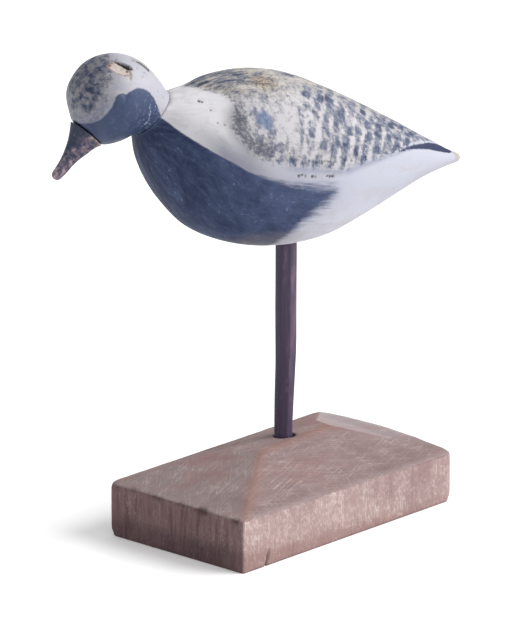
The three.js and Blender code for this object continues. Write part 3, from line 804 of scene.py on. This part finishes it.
# The slit opens from a hair at its left end to 2 mm at its right.
SLIT_PLACES = [-4.2, -1.5, 1.0, 3.2, 5.0]
SLIT_HALVES = [0.2, 0.65, 1.1, 1.35, 0.15]
slit_half = np.interp(gash_u, SLIT_PLACES, SLIT_HALVES)
slit = ramp(np.abs(gash_v + 0.1) / (slit_half + 0.12 * gash_rough + 0.05), 1.25, 0.75) * on_crown
slit *= ramp(gash_u, SLIT_PLACES[0] - 0.3, SLIT_PLACES[0] + 0.3)
slit *= ramp(gash_u, SLIT_PLACES[-1] + 0.3, SLIT_PLACES[-1] - 0.3)
# Below it lies a lens of bare wood, split off along the grain.
LENS_MIDDLE = (-0.4, 2.9)
LENS_REACH = (5.4, 3.1)
lens_away = np.hypot((gash_u - LENS_MIDDLE[0]) / LENS_REACH[0], (gash_v - LENS_MIDDLE[1]) / LENS_REACH[1])
lens = ramp(lens_away + 0.12 * gash_rough, 1.12, 0.88) * on_crown * (gash_v > -0.6)
lens_dish = np.clip(1 - lens_away, 0, 1) * lens + 0.25 * lens
upper_lip = hump(gash_v, -1.5, 0.7) * ramp(np.abs(gash_u - 2), 4, 2.5) * on_crown
# Small chips of paint are gone by the slit's right end and by the lens's left one. By the slit's right
# end one is sunk a little and painted grey as its shadow.
chip_away = np.hypot(gash_u - 5.6 - 0.35 * (gash_v - 3.9), (gash_v - 3.9) / 2.0)
chip_with_painted_shadow = ramp(chip_away, 1.2, 0.7) * on_crown
brown_chip = ramp(np.hypot(gash_u - 3.2, gash_v - 2.4), 0.75, 0.4) * on_crown
brown_chip += ramp(np.hypot((gash_u + 5.4) / 1.3, gash_v - 3.0), 1.0, 0.4) * on_crown * 0.7
# A second, thin splinter stands proud at the back of the crown.
SPLINTER_FROM = np.array([8.0, -7.9, 18.1])
SPLINTER_TO = np.array([13.9, -9.9, 13.4])
SPLINTER_HALF_WIDTH = 1.15
splinter_way = SPLINTER_TO - SPLINTER_FROM
splinter_share = (from_centre - SPLINTER_FROM) @ splinter_way / (splinter_way @ splinter_way)
splinter = hump(from_line(from_centre, [SPLINTER_FROM, SPLINTER_TO]), 0, SPLINTER_HALF_WIDTH)
splinter *= 0.35 + 0.65 * ramp(splinter_share, -0.05, 0.35) * ramp(splinter_share, 1.1, 0.97)
# The eye has a fine cut round it.
EYE_AT = np.array([-4.0, 2.7])
EYE_RIM = 3.0
from_eye = np.hypot(*(side_view - EYE_AT).T)
eye_rim = hump(from_eye, EYE_RIM, 0.5) * (np.abs(from_centre[:, 1]) > 12)
head_flats = uneven(from_centre, (9, 9, 8), 31)
SLIT_DEPTH, LENS_DEPTH, SPLINTER_HEIGHT = 1.6, 0.75, 0.85
carved = 0.1 * head_flats - 0.1 - SLIT_DEPTH * slit - LENS_DEPTH * lens_dish * (1 - slit)
carved += 0.25 * upper_lip + SPLINTER_HEIGHT * splinter - 0.06 * eye_rim - 0.25 * chip_with_painted_shadow
carved -= 0.3 * brown_chip
sculpt(head, carved * ramp(from_neck_cut(bird_places(head)), 0.5, 1.6))

head_places = {
    "mask": inside(side_view, rounded(MASK)), "crown": inside(side_view, rounded(CROWN)),
    "slit": ramp(slit, 0.15, 0.55), "lens": lens, "lens_rim": hump(lens_away, 1, 0.16) * on_crown,
    "chip_with_painted_shadow": chip_with_painted_shadow, "brown_chip": np.clip(brown_chip, 0, 1), "eye_rim": eye_rim,
    "splinter": ramp(splinter, 0.3, 0.6), "along_head": from_centre[:, 0],
    "neck_cut": ramp(from_neck_cut(bird_places(head)), 1.2, 0.3),
}
keep(head, head_places)

# The same old oil paint as on the body, dabbed with a rag or a worn brush over the crown.
tree, spot, stored = start_material(head, "old_oil_paint_on_head", head_places)
# Dabs are about 4 mm across, smears 2 mm, grit 1 mm and clouds 12 mm.
dabbing = fine_marks(tree, spot, (4.6, 4.6, 4.6), 3, 0.62, warp=0.15)
smear = fine_marks(tree, spot, (1.9, 1.9, 1.9), 3, 0.62, warp=0.1)
grit = fine_marks(tree, spot, (1, 1, 1), 3, 0.62, warp=0.3)
clouds = fine_marks(tree, spot, (12, 12, 12), 4, 0.62, warp=0.4)
# White ground, painted greyer towards the face as painted shade on the side turned from the light.
white = lay_coats(
    tree, "#A09FA8",
    ("#666878", stored["along_head"], 2, -14, 1),
    ("#A9A4A2", clouds, 0.48, 0.68, 0.4),
    ("#9EA2B0", smear, 0.5, 0.66, 0.35),
)

# The crown: how dark it is falls off towards the gash in loose, square dabs about 3 mm across.
square_dabs = square_touches(tree, spot, (3.2, 3.2, 2.6), (2.6, 2.6, 2.6), 0.75, 0.2, -0.22, 0.3,
                             turn=BIRD_TURN)
crown_base = add(tree, "MapRange", {0: stored["crown"], 1: -4, 2: 6, 3: -0.3, 4: 0.74},
                 interpolation_type="SMOOTHSTEP")
darkness = -1.48
for pattern, weight in ((dabbing, 2.1), (square_dabs, 1), (smear, 0.8), (crown_base, 1)):
    darkness = add(tree, "Math", {0: pattern, 1: weight, 2: darkness}, operation="MULTIPLY_ADD")
crown_tones = set_tones(add(tree, "ValToRGB", {0: darkness}), "#8E8D93", "#2C344A",
                        ((0.3, "#74737A"), (0.55, "#62636D"), (0.8, "#474D60")))
crown_share = add(tree, "MapRange", {0: darkness, 1: -0.15, 2: 0.4, 3: 0, 4: 1},
                  interpolation_type="SMOOTHSTEP")
crowned = add(tree, "Mix", {0: crown_share, 6: white, 7: crown_tones}, out=2, data_type="RGBA")

# The mask has a clean brushed edge, soft tones and light flecks where it is rubbed at the cheek.
mask_noise = add(tree, "Math", {0: smear, 1: 1.4, 2: -0.7}, operation="MULTIPLY_ADD")
mask_line = add(tree, "Math", {0: mask_noise, 1: stored["mask"]}, operation="ADD")
mask_share = add(tree, "MapRange", {0: mask_line, 1: -0.4, 2: 0.4, 3: 0, 4: 1},
                 interpolation_type="SMOOTHSTEP")
cheek = add(tree, "MapRange", {0: stored["along_head"], 1: 3, 2: 11, 3: 0.1, 4: 1})
slate = lay_coats(
    tree, add(tree, "Mix", {0: clouds, 6: "#26314E", 7: "#424E6A"}, out=2, data_type="RGBA"),
    ("#8C95AA", smear, 0.54, 0.66, 0.75, cheek),
    ("#2A3148", stored["eye_rim"], 0, 1, 0.2),
    ("#505C78", stored["neck_cut"], 0, 1, 1, smear),
)
masked = add(tree, "Mix", {0: mask_share, 6: crowned, 7: slate}, out=2, data_type="RGBA")

# Bare wood in the gash, cream on the lens and brown along the torn paint, and the slit painted dark as
# the shadow in it.
lens_wood = add(tree, "Mix", {0: smear, 6: "#8C7E76", 7: "#C8BFB8"}, out=2, data_type="RGBA")
torn_edge = add(tree, "Math", {0: stored["lens_rim"], 1: grit}, operation="MULTIPLY")
torn = lay_coats(
    tree, masked,
    (lens_wood, stored["lens"], 0, 1, 1),
    ("#7C6A62", torn_edge, 0.2, 0.48, 0.85),
    # Painted shadow of the chip by the slit's right end.
    ("#86857B", stored["chip_with_painted_shadow"], 0, 1, 1),
    ("#5A3E3C", stored["brown_chip"], 0, 1, 1),
    ("#4C4848", stored["splinter"], 0, 1, 1),
    ("#20181C", stored["slit"], 0, 1, 1),
)
gloss = add(tree, "MapRange", {0: smear, 1: 0.3, 2: 0.7, 3: 0.38, 4: 0.54})
finish_material(tree, torn, smear, 0.3, roughness=gloss, ior=1.48, specular=0.25)

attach(head, "root")
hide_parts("head")


# Bill
# A whittled cone of its own, glued to the face. Its slate-black paint has worn to brown wood in spots,
# most at the tip, and bare cream wood shows along the joint.
BILL_VOXEL = 0.3
BILL_ROOT = np.array([-13.5, -14.6])
BILL_TIP = np.array([-28.9, -34.6])
UNDER_SIDE_FULLER = 0.6
bill = merged_copy("bill", "whittled_bill")
finish_with(bill, "REMESH", mode="VOXEL", voxel_size=BILL_VOXEL * MM)
finish_with(bill, "SMOOTH", factor=0.5, iterations=2)
on_bill = bird_places(bill) - HEAD_CENTRE
whittled = uneven(on_bill, (4, 3, 7), 41)
bill_way = (BILL_TIP - BILL_ROOT) / np.linalg.norm(BILL_TIP - BILL_ROOT)
down_bill = (on_bill[:, [0, 2]] - BILL_ROOT) @ bill_way
up_front = (on_bill[:, [0, 2]] - BILL_ROOT) @ np.array([bill_way[1], -bill_way[0]])
under_side = ramp(-up_front, 0, 2) * ramp(down_bill, 3, 9) * ramp(down_bill, 25, 20)
sculpt(bill, 0.1 * whittled - 0.05 + UNDER_SIDE_FULLER * under_side)
bill_places = {"down": down_bill, "front": up_front}
keep(bill, bill_places)

# Worn black paint over brown wood: matt, mottled from slate black to pinkish brown.
tree, spot, stored = start_material(bill, "worn_paint_on_bill", bill_places)
# Blots about 3 mm across and specks of 1 mm.
blots = fine_marks(tree, spot, (2.6, 2.6, 2.6), 4, 0.66, warp=0.15)
specks = fine_marks(tree, spot, (1.1, 1.1, 1.1), 3, 0.65)
# The paint is worn at the tip and at the root's right, and darker on the facet at the front. Each has
# the places along and across the bill between which it grows.
tip_wear = add(tree, "MapRange", {0: stored["down"], 1: 14, 2: 24, 3: 0, 4: 0.3})
facet_across = add(tree, "MapRange", {0: stored["front"], 1: 0.5, 2: 4, 3: 0, 4: -0.6})
facet_along = add(tree, "MapRange", {0: stored["down"], 1: 14, 2: 6, 3: 0, 4: 1})
root_along = add(tree, "MapRange", {0: stored["down"], 1: 5, 2: 0.5, 3: 0, 4: 0.35})
root_right = add(tree, "MapRange", {0: stored["front"], 1: 1, 2: -4, 3: 0, 4: 1})
wear = -1.4
for pattern, weight in ((blots, 2.7), (specks, 1), (tip_wear, 1), (facet_across, facet_along),
                        (root_along, root_right)):
    wear = add(tree, "Math", {0: pattern, 1: weight, 2: wear}, operation="MULTIPLY_ADD")
bill_tones = set_tones(add(tree, "ValToRGB", {0: wear}), "#262C42", "#998487",
                       ((0.35, "#3E4054"), (0.6, "#5E5561"), (0.8, "#786A73")))
worn_paint = lay_coats(tree, bill_tones, ("#C2AE98", stored["down"], 2.2, 0.4, 1.1, root_right, blots))
finish_material(tree, worn_paint, specks, 0.4, roughness=0.6, ior=1.48, specular=0.35)

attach(bill, "root")
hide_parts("bill")


# Studio
# A plain white acrylic floor lit faintly from below, one broad soft light from the camera's right,
# and a white surround.
FLOOR_SIZE = 12
FLOOR_GLOW = 0.07
bpy.ops.object.select_all(action="DESELECT")
bpy.ops.mesh.primitive_plane_add(size=FLOOR_SIZE)
floor = bpy.context.object
floor.name = "floor"
white_floor = bpy.data.materials.new("white_acrylic")
white_floor.use_nodes = True
for name, value in (("Base Color", linear("#FBFBFB")), ("Roughness", 0.9),
                    ("Emission Color", (1, 1, 1, 1)), ("Emission Strength", FLOOR_GLOW)):
    white_floor.node_tree.nodes["Principled BSDF"].inputs[name].default_value = value
floor.data.materials.append(white_floor)

SURROUND_STRENGTH = 0.72
world = bpy.data.worlds.new("surround")
world.use_nodes = True
world.node_tree.nodes["Background"].inputs["Color"].default_value = (1, 1, 1, 1)
world.node_tree.nodes["Background"].inputs["Strength"].default_value = SURROUND_STRENGTH
bpy.context.scene.world = world

# The camera was fitted to the block's corners: azimuth, height above the level and distance in mm.
CAMERA_AZIMUTH = math.radians(-47.74)
CAMERA_ELEVATION = math.radians(13.36)
CAMERA_DISTANCE = 1300
AIM_RIGHT = -13.86
AIM_HEIGHT = 104.33
FOCAL_PIXELS = 2717.66
IMAGE_WIDTH = 512
SENSOR_MM = 36
to_right = Vector((math.cos(CAMERA_AZIMUTH), math.sin(CAMERA_AZIMUTH), 0))
looking = Vector((-math.sin(CAMERA_AZIMUTH) * math.cos(CAMERA_ELEVATION),
                  math.cos(CAMERA_AZIMUTH) * math.cos(CAMERA_ELEVATION), -math.sin(CAMERA_ELEVATION)))
aim = to_right * AIM_RIGHT + Vector((0, 0, AIM_HEIGHT))
camera_lens = bpy.data.cameras.new("camera")
camera_lens.sensor_fit = "HORIZONTAL"
camera_lens.sensor_width = SENSOR_MM
camera_lens.lens = FOCAL_PIXELS / IMAGE_WIDTH * SENSOR_MM
camera = bpy.data.objects.new("camera", camera_lens)
camera.location = (aim - looking * CAMERA_DISTANCE) * MM
camera.rotation_euler = looking.to_track_quat("-Z", "Y").to_euler()
bpy.context.scene.collection.objects.link(camera)
bpy.context.scene.camera = camera

# The light comes square from the right of the picture, so the stick's shadow falls straight left.
LIGHT_ELEVATION = math.radians(32)
LIGHT_STRENGTH = 3.6
LIGHT_SPREAD = math.radians(52)
light_way = to_right * math.cos(LIGHT_ELEVATION) + Vector((0, 0, math.sin(LIGHT_ELEVATION)))
light_data = bpy.data.lights.new("broad_light", "SUN")
light_data.energy = LIGHT_STRENGTH
light_data.angle = LIGHT_SPREAD
broad_light = bpy.data.objects.new("broad_light", light_data)
broad_light.rotation_euler = (-light_way).to_track_quat("-Z", "Y").to_euler()
bpy.context.scene.collection.objects.link(broad_light)
bpy.context.scene.view_settings.view_transform = "Standard"
